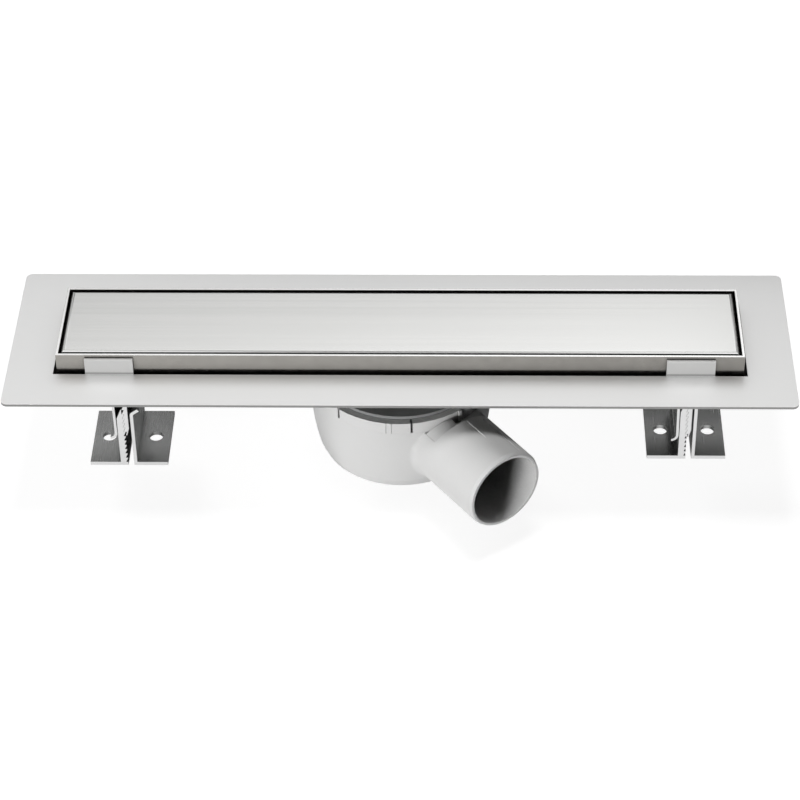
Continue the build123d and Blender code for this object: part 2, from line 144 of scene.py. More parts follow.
class StageSettings(bpy.types.PropertyGroup):
    """Camera, light and floor."""
    azimuth: tilt("Azimuth", "Turn of the view", 0.0306)
    elevation: tilt("Elevation", "Height of the view", 0.6914)
    roll: tilt("Roll", "Tilt of the picture", -0.016)
    distance: length("Distance", "From the camera to the point that it looks at", 1.54938)
    aim: FloatVectorProperty(
        name="Aim", description="Point that the camera looks at", default=(0.000878, -0.057538, 0.0),
        subtype="XYZ", unit="LENGTH", precision=5)
    lens: FloatProperty(
        name="Lens", description="Focal length in mm", default=121.03, subtype="DISTANCE_CAMERA")
    key: power("Key light", "Power of the low light on the left", 29.0)
    top: power("Top light", "Power of the high light", 12.5)
    back: power("Back light", "Power of the light behind", 16.0)
    fill: share("Sky", "Strength of the sky on matt surfaces", 0.01)
    floor: share("Floor", "Light of the floor that takes no shadow", 0.88)
    under: share("Floor under the drain", "Light of the floor under the drain, as gloss sees it", 0.05)
    front: FloatProperty(
        name="Front card", description="Brightness of the card over the camera", default=0.85, min=0)
    low: share("Low flag", "Brightness of the dark flag behind the feet, at its left end", 0.28)
    over: share("Overhead flag", "Brightness of the grey flag over the middle", 0.25)


class DrainSettings(bpy.types.PropertyGroup):
    """All settings of the drain."""
    sheet: PointerProperty(type=SheetSettings)
    cover: PointerProperty(type=CoverSettings)
    trap: PointerProperty(type=TrapSettings)
    clip: PointerProperty(type=ClipSettings)
    stage: PointerProperty(type=StageSettings)


def settings():
    return bpy.context.scene.drain


# Node graphs

class Graph:
    """Adds nodes to one tree and sets or links their sockets."""

    def __init__(self, tree):
        self.tree = tree

    def put(self, socket, value):
        if isinstance(value, bpy.types.NodeSocket):
            self.tree.links.new(value, socket)
        else:
            socket.default_value = value

    def add(self, kind, sockets=(), **options):
        node = self.tree.nodes.new(kind)
        for name, value in options.items():
            setattr(node, name, value)
        for name, value in dict(sockets).items():
            self.put(node.inputs[name], value)
        return node

    def math(self, operation, *values, clamp=False):
        node = self.add("ShaderNodeMath", operation=operation, use_clamp=clamp)
        for socket, value in zip(node.inputs, values):
            self.put(socket, value)
        return node.outputs[0]

    def vector(self, operation, *values):
        node = self.add("ShaderNodeVectorMath", operation=operation)
        for socket, value in zip(node.inputs, values):
            self.put(socket, value)
        return node.outputs["Value"] if operation == "DOT_PRODUCT" else node.outputs[0]

    def spread(self, value, low, high, start=0.0, end=1.0):
        node = self.add("ShaderNodeMapRange", {0: value, 1: start, 2: end, 3: low, 4: high})
        return node.outputs[0]

    def place(self):
        """X, Y and Z of a point on the piece."""
        point = self.add("ShaderNodeTexCoord").outputs["Object"]
        return self.add("ShaderNodeSeparateXYZ", {0: point}).outputs

    def tint(self, colour, factor):
        node = self.add("ShaderNodeVectorMath", operation="SCALE")
        self.put(node.inputs[0], colour)
        self.put(node.inputs["Scale"], factor)
        return node.outputs[0]

    def blend(self, factor, first, second):
        node = self.add("ShaderNodeMix", data_type="RGBA")
        self.put(node.inputs[0], factor)
        self.put(node.inputs[6], first)
        self.put(node.inputs[7], second)
        return node.outputs[2]

    def noise(self, vector, scale, detail=2.0, rough=0.5):
        node = self.add("ShaderNodeTexNoise", {
            "Vector": vector, "Scale": scale, "Detail": detail, "Roughness": rough})
        return node.outputs[0]


def node_group(name, inputs, outputs, build):
    """Makes a shader node group once. build(graph, inputs) returns the output sockets."""
    if name in bpy.data.node_groups:
        return bpy.data.node_groups[name]
    tree = bpy.data.node_groups.new(name, "ShaderNodeTree")
    for socket, kind, default in inputs:
        made = tree.interface.new_socket(socket, in_out="INPUT", socket_type=kind)
        made.default_value = default
    for socket, kind in outputs:
        tree.interface.new_socket(socket, in_out="OUTPUT", socket_type=kind)
    graph = Graph(tree)
    source = graph.add("NodeGroupInput")
    results = build(graph, source.outputs)
    sink = graph.add("NodeGroupOutput")
    for (socket, _), value in zip(outputs, results):
        graph.put(sink.inputs[socket], value)
    return tree


VALUE = "NodeSocketFloat"
POINT = "NodeSocketVector"
BROAD_LINES = (0.5, 0.11, 0.11)
FINE_SHARE, BROAD_SHARE = 0.6, 0.4
EDGE_BEND = (0.02, 0.2)


def streak_group():
    """Fine lines that run one way, as brushing, rolling and drawing leave them."""
    def build(graph, given):
        place = graph.add("ShaderNodeTexCoord").outputs["Object"]
        stretched = graph.vector("MULTIPLY", place, given["Lines per metre"])
        fine = graph.noise(stretched, 1.0, detail=3.0, rough=0.65)
        broad = graph.noise(graph.vector("MULTIPLY", stretched, BROAD_LINES), 1.0)
        fine_part = graph.math("MULTIPLY", fine, FINE_SHARE)
        mixed = graph.math("ADD", fine_part, graph.math("MULTIPLY", broad, BROAD_SHARE))
        swing = graph.math("SUBTRACT", mixed, 0.5)
        return (graph.math("MULTIPLY_ADD", swing, given["Tone"], 1.0),
                graph.math("MULTIPLY_ADD", swing, given["Gloss"], 1.0), fine)
    return node_group(
        "Streaks",
        [("Lines per metre", POINT, (20.0, 2000.0, 2000.0)), ("Tone", VALUE, 0.2), ("Gloss", VALUE, 0.4)],
        [("Tone", VALUE), ("Gloss", VALUE), ("Height", VALUE)], build)


def cloud_group():
    """Slow changes of tone and gloss over a sheet or a moulding."""
    def build(graph, given):
        place = graph.add("ShaderNodeTexCoord").outputs["Object"]
        slow = graph.math("SUBTRACT", graph.noise(place, given["Scale"], detail=3.0), 0.5)
        return (graph.math("MULTIPLY_ADD", slow, given["Tone"], 1.0),
                graph.math("MULTIPLY_ADD", slow, given["Gloss"], 1.0))
    return node_group(
        "Clouding", [("Scale", VALUE, 14.0), ("Tone", VALUE, 0.1), ("Gloss", VALUE, 0.3)],
        [("Tone", VALUE), ("Gloss", VALUE)], build)


def edge_group():
    """Mask of the rounded edges, which the metal finish lightens partly as worn metal and partly as a painted
    highlight.
    """
    def build(graph, given):
        round_normal = graph.add("ShaderNodeBevel", {"Radius": given["Width"]}, samples=4).outputs[0]
        plain_normal = graph.add("ShaderNodeNewGeometry").outputs["Normal"]
        bend = graph.math("SUBTRACT", 1.0, graph.vector("DOT_PRODUCT", round_normal, plain_normal))
        return (graph.spread(bend, 0.0, 1.0, *EDGE_BEND),)
    return node_group("Edge polish", [("Width", VALUE, 0.0006)], [("Mask", VALUE)], build)


def recess_group(name, own):
    """Mask of the recesses, where the finishes paint shade. With own, only the piece itself closes them."""
    def build(graph, given):
        sky = graph.add("ShaderNodeAmbientOcclusion", {"Distance": given["Reach"]}, samples=5, only_local=own)
        return (graph.spread(sky.outputs["AO"], 1.0, 0.0, given["Closed"], given["Open"]),)
    return node_group(
        name, [("Reach", VALUE, 0.004), ("Closed", VALUE, 0.15), ("Open", VALUE, 0.85)],
        [("Mask", VALUE)], build)


def skin_group():
    """Fine skin that a mould leaves on plastic or rubber."""
    def build(graph, given):
        place = graph.add("ShaderNodeTexCoord").outputs["Object"]
        grain = graph.noise(place, given["Grain"])
        swing = graph.math("SUBTRACT", grain, 0.5)
        return (graph.math("MULTIPLY_ADD", swing, given["Tone"], 1.0),
                graph.math("MULTIPLY_ADD", swing, given["Gloss"], 1.0), grain)
    return node_group(
        "Moulded skin", [("Grain", VALUE, 1500.0), ("Tone", VALUE, 0.04), ("Gloss", VALUE, 0.3)],
        [("Tone", VALUE), ("Gloss", VALUE), ("Height", VALUE)], build)


def group(graph, tree, **values):
    node = graph.add("ShaderNodeGroup", node_tree=tree)
    for name, value in values.items():
        graph.put(node.inputs[name.replace("_", " ")], value)
    return node.outputs


def new_material(name):
    material = bpy.data.materials.new(name)
    material.use_nodes = True
    material.node_tree.nodes.clear()
    graph = Graph(material.node_tree)
    return material, graph


def close_material(graph, shader):
    graph.add("ShaderNodeOutputMaterial", {"Surface": shader.outputs[0]})


def bump(graph, height, depth, normal=None):
    node = graph.add("ShaderNodeBump", {"Strength": 1.0, "Distance": depth, "Height": height})
    if normal:
        graph.put(node.inputs["Normal"], normal)
    return node.outputs[0]


# Finishes, some of them with painted highlights and painted shade. Lines are counted in a metre along X, Y
# and Z. A pair of limits is where a mask starts and ends

ROLLED_LINES = (160.0, 1400.0, 1400.0)
FRAME_LINES = (60.0, 2200.0, 2200.0)
BRUSH_LINES = (4.0, 2600.0, 2600.0)
DRAWN_LINES = (2200.0, 30.0, 2200.0)
SAW_LINES = (120.0, 120.0, 2600.0)
PLATED_LINES = (900.0, 900.0, 900.0)
EDGE_BRIGHTENING_WIDTH = 0.4 * MILLIMETRE
WORN_AND_HIGHLIGHT_METAL = (0.93, 0.93, 0.92, 1.0)
SHELTERED = 0.4
UPRIGHT_FACES = (0.3, 0.6)
SQUARE_FACES = (0.80, 0.95)
# Bands of the painted edge shade and of the painted shadow line at the tab heels.
SHEARED_BAND = (-0.4 * MILLIMETRE, -0.15 * MILLIMETRE)
TAB_FOOT = (0.10 * MILLIMETRE, 0.25 * MILLIMETRE)
TAB_HEEL = (0.8 * MILLIMETRE, 1.1 * MILLIMETRE)
HEEL_DARK, TAB_DARK = 0.9, 0.2
# Where the painted shade line, highlight and gap shade fall on the cover's folds.
FOLD_SIDES = (0.01, 0.04)
FOLD_BEGUN = (0.990, 0.999)
FOLD_TURNED = (0.94, 0.97)
FOLD_DOWN = (0.76, 0.82)
FOLD_START_SHADE_SHARE = 0.8
SAWN_GLOSS = 0.4
PLATED_GLOSS = 0.3
RUBBER_GLOSS = 0.6
SOFT_EDGE = 0.35 * MILLIMETRE
RING_SKIN = (1500.0, 0.01 * MILLIMETRE)
RUBBER_SKIN = (2500.0, 0.02 * MILLIMETRE)
LID_SKIN = (1200.0, 0.01 * MILLIMETRE)
BOWL_SKIN = (1200.0, 0.006 * MILLIMETRE)
RECESS_SHADE = 0.85


def metal_finish(name, colour, gloss, lines, streak, cloud, painted_shade, wear_and_highlight=0.7):
    """Bare metal with one-way lines, slow clouding, edges lightened partly as worn metal and partly as a
    painted highlight, and painted shade in its recesses.

    streak is the swing of tone and gloss, cloud the scale and its swings, and the recess-shade pair the reach
    and the darkening of the painted shade in recesses.
    """
    material, graph = new_material(name)
    lines_out = group(graph, streak_group(), Lines_per_metre=lines, Tone=streak[0], Gloss=streak[1])
    cloud_out = group(graph, cloud_group(), Scale=cloud[0], Tone=cloud[1], Gloss=cloud[2])
    edge_out = group(graph, edge_group(), Width=EDGE_BRIGHTENING_WIDTH)
    # Painted shade: an occlusion mask darkens the colour in corners, gaps and recesses.
    recess = group(graph, recess_group("Recesses", False), Reach=painted_shade[0])
    shade = graph.math("MULTIPLY", lines_out["Tone"], cloud_out["Tone"])
    recess_shade_tint = graph.spread(recess["Mask"], 1.0, 1.0 - painted_shade[1])
    base = graph.tint(colour, graph.math("MULTIPLY", shade, recess_shade_tint))
    # Partly worn metal, partly painted highlight: open edges are lightened towards a bright metal colour.
    open_air = graph.spread(recess["Mask"], wear_and_highlight, 0.0, 0.0, SHELTERED)
    bright = graph.blend(graph.math("MULTIPLY", edge_out["Mask"], open_air), base, WORN_AND_HIGHLIGHT_METAL)
    rough = graph.math("MULTIPLY", graph.math("MULTIPLY", lines_out["Gloss"], cloud_out["Gloss"]), gloss)
    shader = graph.add("ShaderNodeBsdfPrincipled", {
        "Base Color": bright, "Metallic": 1.0, "Roughness": rough,
        "Normal": bump(graph, lines_out["Height"], LINE_DEPTH)})
    close_material(graph, shader)
    return material


def opened(material):
    """Graph and shader of a finished material, to change it further."""
    graph = Graph(material.node_tree)
    return graph, next(node for node in graph.tree.nodes if node.type == "BSDF_PRINCIPLED")


def facing(graph, direction):
    """How far a face looks along a direction, either way."""
    normal = graph.add("ShaderNodeTexCoord").outputs["Normal"]
    return graph.math("ABSOLUTE", graph.vector("DOT_PRODUCT", normal, direction))


def upward(graph):
    """How far a face looks up, less than zero for a face that looks down."""
    normal = graph.add("ShaderNodeTexCoord").outputs["Normal"]
    return graph.vector("DOT_PRODUCT", normal, UP)


def recolour(graph, shader, mask, colour):
    """Lays one more colour over a finished material where the mask is one."""
    socket = shader.inputs["Base Color"]
    graph.put(socket, graph.blend(mask, socket.links[0].from_socket, colour))


def painted_edge_shade(material, colour):
    """Paints shade on the upright edges of a flat sheet whose top lies at zero height, and a painted shadow
    line at the heels of its tabs.
    """
    graph, shader = opened(material)
    upright_face = graph.spread(facing(graph, UP), 1.0, 0.0, *UPRIGHT_FACES)
    height = graph.place()["Z"]
    below = graph.spread(height, 1.0, 0.0, *SHEARED_BAND)
    recolour(graph, shader, graph.math("MULTIPLY", upright_face, below), (*colour, 1.0))
    tab = graph.spread(height, 0.0, 1.0, *TAB_FOOT)
    # Painted shadow line along the tab heels.
    heel_shadow = graph.spread(height, HEEL_DARK, TAB_DARK, *TAB_HEEL)
    recolour(graph, shader, graph.math("MULTIPLY", tab, heel_shadow), (*colour, 1.0))


def painted_top_highlight(material, colour):
    """Paints a highlight on the faces that look up."""
    graph, shader = opened(material)
    recolour(graph, shader, graph.spread(upward(graph), 0.0, 1.0, *SQUARE_FACES), (*colour, 1.0))


def folded_edges(material, look):
    """Paints light and shade on folds that run down from a flat top: a painted shade line where the fold
    begins, a painted highlight on the fold, painted shade on the skirt below it.
    """
    graph, shader = opened(material)
    up = upward(graph)
    long_side = graph.spread(facing(graph, ACROSS), 0.0, 1.0, *FOLD_SIDES)
    begun = graph.math("MULTIPLY", graph.spread(up, 1.0, 0.0, *FOLD_BEGUN), long_side)
    turned = graph.spread(up, 1.0, 0.0, *FOLD_TURNED)
    down = graph.math("MULTIPLY", graph.spread(up, 1.0, 0.0, *FOLD_DOWN), long_side)
    recolour(graph, shader, graph.math("MULTIPLY", begun, FOLD_START_SHADE_SHARE), (*look.fold_start_shade, 1.0))
    recolour(graph, shader, turned, (*look.highlighted, 1.0))
    recolour(graph, shader, down, (*look.closed, 1.0))


def sawn_ends(material, colour):
    """Turns the faces across the drawing direction of an extrusion into bright sawn ones."""
    graph, shader = opened(material)
    cut = graph.spread(facing(graph, ACROSS), 0.0, 1.0, *SQUARE_FACES)
    marks = group(graph, streak_group(), Lines_per_metre=SAW_LINES, Tone=0.25, Gloss=0.3)
    recolour(graph, shader, cut, graph.tint(colour, marks["Tone"]))
    drawn_gloss = shader.inputs["Roughness"].links[0].from_socket
    sawn_gloss = graph.math("MULTIPLY", marks["Gloss"], SAWN_GLOSS)
    change = graph.math("MULTIPLY", graph.math("SUBTRACT", sawn_gloss, drawn_gloss), cut)
    graph.put(shader.inputs["Roughness"], graph.math("ADD", drawn_gloss, change))


def plastic_finish(name, colour, gloss, grain, shade=RECESS_SHADE):
    """Moulded plastic or rubber with a fine skin, soft edges and painted shade in its recesses.

    grain is the number of its dimples in a metre and their depth.
    """
    material, graph = new_material(name)
    skin = group(graph, skin_group(), Grain=grain[0])
    cloud = group(graph, cloud_group(), Scale=22.0, Tone=0.08, Gloss=0.35)
    # Painted shade: an occlusion mask of the piece's own hollows darkens its colour.
    recess = group(graph, recess_group("Own recesses", True), Reach=70.0 * MILLIMETRE, Closed=0.08, Open=0.50)
    plastic_recess_shade = graph.spread(recess["Mask"], 1.0, 1.0 - shade)
    tones = graph.math("MULTIPLY", skin["Tone"], cloud["Tone"])
    base = graph.tint(colour, graph.math("MULTIPLY", tones, plastic_recess_shade))
    rough = graph.math("MULTIPLY", graph.math("MULTIPLY", skin["Gloss"], cloud["Gloss"]), gloss)
    soft = graph.add("ShaderNodeBevel", {"Radius": SOFT_EDGE}, samples=4).outputs[0]
    shader = graph.add("ShaderNodeBsdfPrincipled", {
        "Base Color": base, "Roughness": rough, "Specular IOR Level": 0.2,
        "Normal": bump(graph, skin["Height"], grain[1], soft)})
    close_material(graph, shader)
    return material


# Meshes

WELD_GAP = 0.001 * MILLIMETRE
FLAT_ANGLE = math.radians(0.1)


def dress(node, material, edge=0.0):
    """Gives a CAD node its finish and rounds its sharp edges."""
    piece = frame["nodes"][node]
    piece.data.materials.clear()
    piece.data.materials.append(material)
    if edge:
        weld = piece.modifiers.new("Weld", "WELD")
        weld.merge_threshold = WELD_GAP
        plain = piece.modifiers.new("Plain faces", "DECIMATE")
        plain.decimate_type = "DISSOLVE"
        plain.angle_limit = FLAT_ANGLE
        bevel = piece.modifiers.new("Edges", "BEVEL")
        bevel.width = edge
        bevel.segments = 2
        bevel.limit_method = "ANGLE"
        bevel.angle_limit = SMOOTH_ANGLE
        bevel.use_clamp_overlap = False
        shade = piece.modifiers.new("Shading", "WEIGHTED_NORMAL")
        shade.keep_sharp = True


def loft(rings):
    """Closed skin through rings of points, with a cap at each end."""
    count = len(rings[0])
    last = (len(rings) - 1) * count
    corners = [point for ring in rings for point in ring]
    faces = [tuple(range(count)), tuple(range(last, last + count))]
    for start in range(0, last, count):
        for k in range(count):
            near, far = start + k, start + (k + 1) % count
            faces.append((near, far, far + count, near + count))
    return corners, faces


def add_piece(name, skins, material, body):
    """Makes one piece from closed skins, which rides on a body of the frame."""
    build = bmesh.new()
    for corners, faces in skins:
        made = [build.verts.new(corner) for corner in corners]
        for face in faces:
            build.faces.new([made[k] for k in face])
    bmesh.ops.recalc_face_normals(build, faces=build.faces)
    for face in build.faces:
        face.smooth = True
    mesh = bpy.data.meshes.new(name)
    build.to_mesh(mesh)
    build.free()
    mesh.set_sharp_from_angle(angle=SMOOTH_ANGLE)
    mesh.materials.append(material)
    piece = bpy.data.objects.new(name, mesh)
    bpy.context.scene.collection.objects.link(piece)
    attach(piece, body)
    return piece


class Spigot:
    """Place of the outlet spigot, from the mount in the frame's record."""

    def __init__(self):
        mount = next(item for item in frame["record"]["mounts"] if item["name"] == "outlet_spigot")
        self.axis = Vector(mount["axis"])
        self.centre = Vector((0.0, 0.0, mount["pos_m"][2]))
        self.radius = mount["dims"]["r_mm"] * MILLIMETRE
        middle = (Vector(mount["pos_m"]) - self.centre).dot(self.axis)
        half = mount["dims"]["length_mm"] * MILLIMETRE / 2
        self.start, self.end = middle - half, middle + half
        self.side = UP.cross(self.axis)

    def point(self, along, turn, height):
        """Point over the spigot's wall, its turn taken from the crest."""
        outward = UP * math.cos(turn) + self.side * math.sin(turn)
        return self.centre + self.axis * along + outward * (self.radius + height)


ROOT_TURNS = (56.0, 304.0)
ROOT_STEPS = 96
ROOT_FADE = 0.10
ROOT_LEAST = 0.12
ROOT_CLEAR = 0.4 * MILLIMETRE
ROOT_CURVE = 7
SUNK = 0.12 * MILLIMETRE


def root_skin(spigot, size):
    """Hollow round between the spigot and the bowl, run out towards the relief pocket."""
    bowl = frame["nodes"]["trap_bowl"].data
    solid = BVHTree.FromPolygons([v.co for v in bowl.vertices], [p.vertices for p in bowl.polygons])

    def on_bowl(turn, height):
        place, _, _, _ = solid.ray_cast(spigot.point(spigot.end, turn, height), -spigot.axis)
        return (place - spigot.centre).dot(spigot.axis)

    rings = []
    for step in range(ROOT_STEPS + 1):
        share_done = step / ROOT_STEPS
        turn = math.radians(ROOT_TURNS[0] + (ROOT_TURNS[1] - ROOT_TURNS[0]) * share_done)
        fade = min(1.0, min(share_done, 1.0 - share_done) / ROOT_FADE)
        radius = size * (ROOT_LEAST + (1.0 - ROOT_LEAST) * math.sin(fade * math.pi / 2))
        corner = on_bowl(turn, ROOT_CLEAR)
        foot = on_bowl(turn, radius)
        ring = [spigot.point(corner + radius, turn, -SUNK)]
        for k in range(ROOT_CURVE + 1):
            part = k / ROOT_CURVE
            wall, bend, end = (1 - part) ** 2, 2 * part * (1 - part), part ** 2
            along = wall * (corner + radius) + bend * corner + end * foot
            ring.append(spigot.point(along, turn, end * radius))
        ring += [spigot.point(foot - SUNK, turn, radius), spigot.point(corner - SUNK, turn, -SUNK)]
        rings.append(ring)
    return loft(rings)


POCKET_RADII = (55.4 * MILLIMETRE, 64.7 * MILLIMETRE)
POCKET_TURNS = (-52.0, -8.0)
POCKET_STEPS = 24
POCKET_FALL = 2.4 * MILLIMETRE
POCKET_DEEP = 6.0 * MILLIMETRE


def pocket_skin(spigot):
    """Soft run-out of the spigot's wall into the near end of the relief pocket."""
    rings = []
    for step in range(POCKET_STEPS + 1):
        share_done = step / POCKET_STEPS
        turn = math.radians(POCKET_TURNS[0] + (POCKET_TURNS[1] - POCKET_TURNS[0]) * share_done)
        off = spigot.radius * math.sin(turn)
        near, far = [math.sqrt(radius ** 2 - off ** 2) for radius in POCKET_RADII]
        crest = -SUNK - POCKET_FALL * share_done ** 2
        rings.append([
            spigot.point(near - SUNK, turn, crest), spigot.point(far + SUNK, turn, crest),
            spigot.point(far + SUNK, turn, -POCKET_DEEP), spigot.point(near - SUNK, turn, -POCKET_DEEP)])
    return loft(rings)


LEAD_LENGTH = 2.6 * MILLIMETRE
LEAD_DEPTH = 1.0 * MILLIMETRE
LIP_WIDTH = 1.5 * MILLIMETRE
LIP_SKIN = 0.03 * MILLIMETRE
HOOP_SIDES = 128


def hoop_skin(spigot, section):
    """Closed ring round the spigot from a section of (along past the wall's end, height over the wall)."""
    corners = []
    for step in range(HOOP_SIDES):
        turn = 2 * math.pi * step / HOOP_SIDES
        corners += [spigot.point(spigot.end + along, turn, height) for along, height in section]
    count = len(section)
    faces = []
    for step in range(HOOP_SIDES):
        here, there = step * count, (step + 1) % HOOP_SIDES * count
        for k in range(count):
            after = (k + 1) % count
            faces.append((here + k, here + after, there + after, there + k))
    return corners, faces


def lead_skin(spigot):
    """Crisp lead at the spigot's mouth."""
    return hoop_skin(spigot, [
        (0.0, LIP_SKIN), (LEAD_LENGTH, LIP_SKIN - LEAD_DEPTH),
        (LEAD_LENGTH, -LEAD_DEPTH - SUNK), (0.0, -SUNK)])


def lip_skin(spigot):
    """Faced end of the spigot, with a small round on both sides."""
    top, low = -LEAD_DEPTH, -LEAD_DEPTH - LIP_WIDTH
    face = LEAD_LENGTH + LIP_SKIN
    return hoop_skin(spigot, [
        (LEAD_LENGTH - SUNK, top), (face, top - SUNK), (face, low + SUNK), (LEAD_LENGTH - SUNK, low)])


BEAD_STEPS = 20
BEAD_CURVE = 6
BEAD_RUN_OUT = 2.0 * MILLIMETRE
BEAD_LEAST = 0.05
LONG_LINE_TURN = math.radians(30.0)
SHORT_LINE_TURN = math.radians(3.5)


def bead_skin(spigot, turn, end, height):
    """Half-round mould line along the spigot's wall, run out at its ends."""
    start = spigot.start + SUNK
    rings = []
    for step in range(BEAD_STEPS + 1):
        along = start + (end - start) * step / BEAD_STEPS
        rise = height * max(BEAD_LEAST, min(1.0, (end - along) / BEAD_RUN_OUT))
        ring = []
        for k in range(BEAD_CURVE + 1):
            swing = math.pi * k / BEAD_CURVE
            aside = height * math.cos(swing) / spigot.radius
            ring.append(spigot.point(along, turn + aside, rise * math.sin(swing)))
        ring.append(spigot.point(along, turn - height / spigot.radius, -SUNK))
        ring.append(spigot.point(along, turn + height / spigot.radius, -SUNK))
        rings.append(ring)
    return loft(rings)


THREAD_DEPTH = 0.38 * MILLIMETRE
THREAD_SIDES = 28
THREAD_STEPS = 8
THREAD_SLOPE = 1.25


def stud_skin(x, y, low, high, radius, pitch):
    """Stud with a pointed thread wound up its length."""
    count = round(THREAD_STEPS * (high - low) / pitch)
    rings = []
    for step in range(count + 1):
        height = low + (high - low) * step / count
        ring = []
        for k in range(THREAD_SIDES):
            share_turn = k / THREAD_SIDES
            wave = abs(2.0 * (((height - low) / pitch - share_turn) % 1.0) - 1.0)
            reach = radius - THREAD_DEPTH * min(1.0, THREAD_SLOPE * wave)
            angle = 2 * math.pi * share_turn
            ring.append((x + reach * math.cos(angle), y + reach * math.sin(angle), height))
        rings.append(ring)
    return loft(rings)


TOOTH_PITCH = 3.4 * MILLIMETRE
TOOTH_DEPTH = 1.3 * MILLIMETRE
TOOTH_LAND = 0.5 * MILLIMETRE
TOOTH_PLAY = 0.12 * MILLIMETRE
TOOTH_LIFT = 0.06 * MILLIMETRE
RACK_ROOT = 1.55 * MILLIMETRE
PAWL_FACE = 3.75 * MILLIMETRE
HANGER_DROP = 38.5 * MILLIMETRE
FOOT_BASE = 2.5 * MILLIMETRE
PAWL_TEETH = 8


def pawl_skin(side):
    """Teeth on a hanger's pawl leg, which fill the gaps of the foot's rack with a little play."""
    low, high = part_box("hanger_" + side)
    middle = (low.x + high.x) / 2
    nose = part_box("trough")[0].z - HANGER_DROP
    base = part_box("foot_" + side)[0].z + FOOT_BASE
    first = base + TOOTH_PITCH * math.ceil((nose - base) / TOOTH_PITCH) + TOOTH_LIFT
    root, tip = middle + RACK_ROOT + TOOTH_PLAY, middle + RACK_ROOT + TOOTH_DEPTH + TOOTH_PLAY
    outline = []
    for k in range(PAWL_TEETH):
        start = first + k * TOOTH_PITCH
        end = start + TOOTH_PITCH
        outline += [(root, start), (tip, end - TOOTH_LAND), (tip, end)]
    back = middle + PAWL_FACE + SUNK
    outline += [(back, outline[-1][1]), (back, first)]
    return loft([[(x, y, z) for x, z in outline] for y in (low.y, high.y)])


# Operators, one for each group of pieces

class DRAIN_OT_sheets(bpy.types.Operator):
    """Dress the flange and the trough in satin sheet steel"""
    bl_idname = "drain.sheets"
    bl_label = "Flange and trough"

    def execute(self, context):
        look = settings().sheet
        satin = metal_finish(
            "satin_sheet", tuple(look.flange), look.satin, ROLLED_LINES, streak=(0.05, 0.25),
            cloud=(9.0, 0.07, 0.3), painted_shade=(2.5 * MILLIMETRE, 0.7))
        painted_edge_shade(satin, tuple(look.shear))
        fold_start_shade = metal_finish(
            "pressed_sheet", tuple(look.trough), look.satin, ROLLED_LINES, streak=(0.08, 0.3),
            cloud=(16.0, 0.14, 0.4), painted_shade=(12.0 * MILLIMETRE, 0.6))
        dress("flange_sheet", satin, look.edge)
        dress("trough", fold_start_shade, look.edge)
        return {"FINISHED"}


class DRAIN_OT_cover(bpy.types.Operator):
    """Dress the raised frame and the brushed cover plate"""
    bl_idname = "drain.cover"
    bl_label = "Frame and cover"

    def execute(self, context):
        sheet, look = settings().sheet, settings().cover
        rim = metal_finish(
            "rim_steel", tuple(sheet.rim), sheet.polish, FRAME_LINES, streak=(0.16, 0.5),
            cloud=(160.0, 0.3, 0.5), painted_shade=(12.0 * MILLIMETRE, 0.75))
        brushed = metal_finish(
            "brushed_cover", tuple(look.steel), look.gloss, BRUSH_LINES, streak=(0.18, 0.7),
            cloud=(7.0, 0.05, 0.3), painted_shade=(2.0 * MILLIMETRE, 0.8), wear_and_highlight=0.3)
        painted_top_highlight(rim, tuple(sheet.top))
        folded_edges(brushed, look)
        dress("cover_frame", rim, look.edge)
        dress("cover_plate", brushed, look.edge)
        return {"FINISHED"}


class DRAIN_OT_outlet(bpy.types.Operator):
    """Dress the outlet ring, the strainer, the dip tube and their seals"""
    bl_idname = "drain.outlet"
    bl_label = "Outlet"

    def execute(self, context):
        look = settings().trap
        ring = plastic_finish("ring_skin", tuple(look.ring), look.gloss, RING_SKIN)
        basket = plastic_finish("strainer_skin", tuple(look.strainer), look.gloss, RING_SKIN)
        rubber = plastic_finish("seal_skin", tuple(look.rubber), RUBBER_GLOSS, RUBBER_SKIN)
        dress("outlet_ring", ring, look.edge)
        dress("dip_tube", ring, look.edge)
        dress("hair_strainer", basket)
        for seal in ("outlet_gasket", "dip_tube_gasket", "lid_seal_ring"):
            dress(seal, rubber)
        return {"FINISHED"}


class DRAIN_OT_trap(bpy.types.Operator):
    """Dress the trap's bowl and lid, and add the spigot's root, mould lines and faced mouth"""
    bl_idname = "drain.trap"
    bl_label = "Trap"

    def execute(self, context):
        look = settings().trap
        bowl = plastic_finish("bowl_skin", tuple(look.bowl), look.gloss, BOWL_SKIN)
        lid = plastic_finish("lid_skin", tuple(look.lid), look.gloss, LID_SKIN)
        dress("trap_bowl", bowl)
        dress("trap_lid", lid)
        spigot = Spigot()
        rounds = [root_skin(spigot, look.root), pocket_skin(spigot)]
        add_piece("spigot_root", rounds, bowl, "trap")
        long_line = bead_skin(spigot, LONG_LINE_TURN, spigot.end, look.bead)
        short_line = bead_skin(spigot, SHORT_LINE_TURN, (spigot.start + spigot.end) / 2, look.bead)
        add_piece("mould_lines", [short_line, long_line], bowl, "trap")
        # The end face's material is a painted highlight: near white, with no recess shade.
        faced = plastic_finish("faced_skin", tuple(look.faced), look.gloss, BOWL_SKIN, shade=0.0)
        add_piece("spigot_lead", [lead_skin(spigot)], bowl, "trap")
        add_piece("spigot_lip", [lip_skin(spigot)], faced, "trap")
        return {"FINISHED"}


